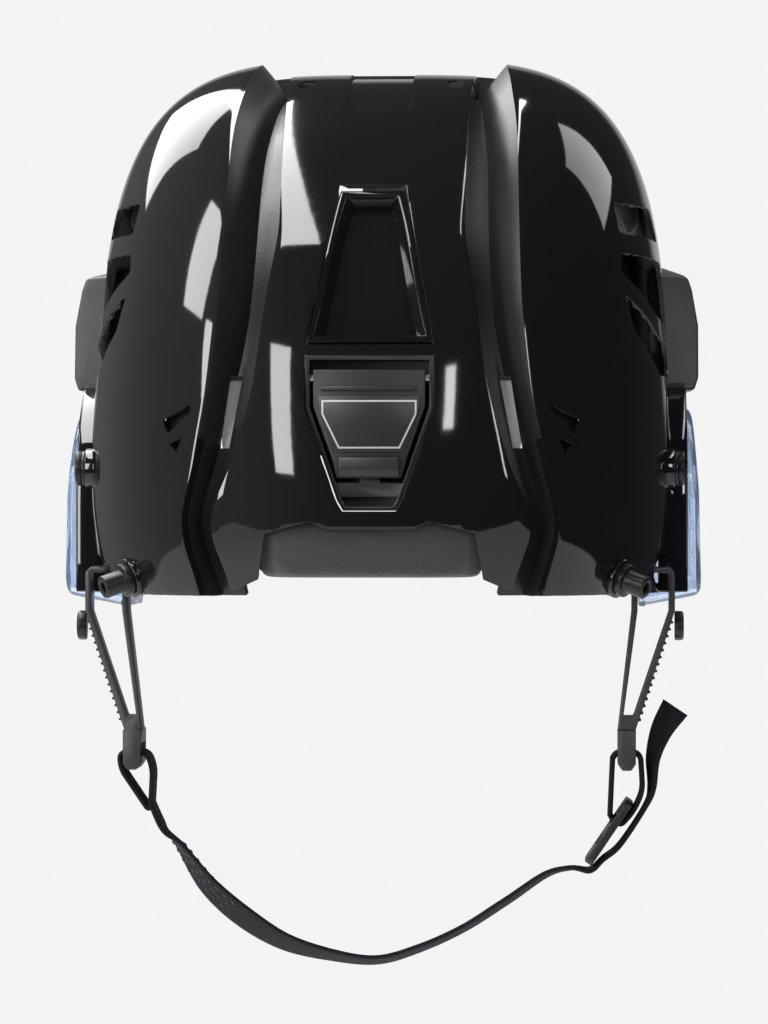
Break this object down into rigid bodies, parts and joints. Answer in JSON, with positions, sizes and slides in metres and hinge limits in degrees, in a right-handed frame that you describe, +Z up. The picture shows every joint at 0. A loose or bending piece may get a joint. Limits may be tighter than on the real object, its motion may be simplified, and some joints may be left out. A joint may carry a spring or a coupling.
{
  "type": "ice hockey helmet",
  "caption": "Hard two-piece sports helmet whose rear shell slides out and locks with a flip latch, with foam linings, clear ear guards and a hanging chin strap.",
  "frame": {"origin": "centre of the wearer's head, midway between the ears", "axes": "+Z up, +Y the way the wearer faces, +X the wearer's right"},
  "size_m": [0.219, 0.2687, 0.3067],
  "materials": {
    "shell": "high gloss black",
    "trim": "satin black",
    "lining": "matte foam",
    "guard": "clear, tinted blue",
    "black_metal": "black",
    "steel": "plain",
    "badge": "satin, silver edge",
    "bridge": "satin light grey",
    "hanger": "satin",
    "webbing": "woven"
  },
  "bodies": {
    "helmet": {"front_shell": "shell", "adjuster_bridge": "bridge", "forehead_pad": "lining", "left_ear_guard": "guard", "left_side_bracket": "black_metal", "left_rear_side_screw": "black_metal", "left_front_side_screw": "black_metal", "left_rear_side_nut": "steel", "left_front_side_nut": "steel", "left_rear_stud": "black_metal", "left_stud_nut": "steel", "left_brow_insert": "steel", "left_temple_insert": "steel", "left_temple_pad": "lining", "left_crown_pad": "lining", "left_side_pad": "lining", "left_rear_pad": "lining", "left_lock_prong": "bridge", "right_ear_guard": "guard", "right_side_bracket": "black_metal", "right_rear_side_screw": "black_metal", "right_front_side_screw": "black_metal", "right_rear_side_nut": "steel", "right_front_side_nut": "steel", "right_rear_stud": "black_metal", "right_stud_nut": "steel", "right_brow_insert": "steel", "right_temple_insert": "steel", "right_temple_pad": "lining", "right_crown_pad": "lining", "right_side_pad": "lining", "right_rear_pad": "lining", "right_lock_prong": "bridge"},
    "rear": {"rear_shell": "shell", "scoop_panel": "trim", "latch_housing": "trim", "latch_pin": "steel", "top_pad": "lining", "occipital_pad": "lining"},
    "latch": {"latch_lever": "trim", "badge_plate": "badge"},
    "lock": {"lock_pawl": "trim"},
    "strap": {"chin_webbing": "webbing", "buckle_loop": "webbing", "strap_buckle": "trim", "left_hanger": "hanger", "left_hanger_snap": "black_metal", "right_hanger": "hanger", "right_hanger_snap": "black_metal"}
  },
  "joints": [
    {"name": "rear_slide", "type": "slide", "parent": "helmet", "child": "rear", "axis": [0, -1, 0], "range_m": [0, 0.01]},
    {"name": "latch_flip", "type": "hinge", "parent": "rear", "child": "latch", "pos_m": [0, -0.1254, 0.0385], "axis": [-1, 0, 0], "range_deg": [0, 65]},
    {"name": "lock_slide", "type": "slide", "parent": "rear", "child": "lock", "axis": [0, 0, -1], "range_m": [0, 0.002]},
    {"name": "strap_swing", "type": "hinge", "parent": "helmet", "child": "strap", "pos_m": [0, -0.049, -0.0255], "axis": [1, 0, 0], "range_deg": [-15, 20]}
  ],
  "couplings": [
    {"joint": "lock_slide", "follows": "latch_flip", "m_per_rad": 0.001763}
  ]
}
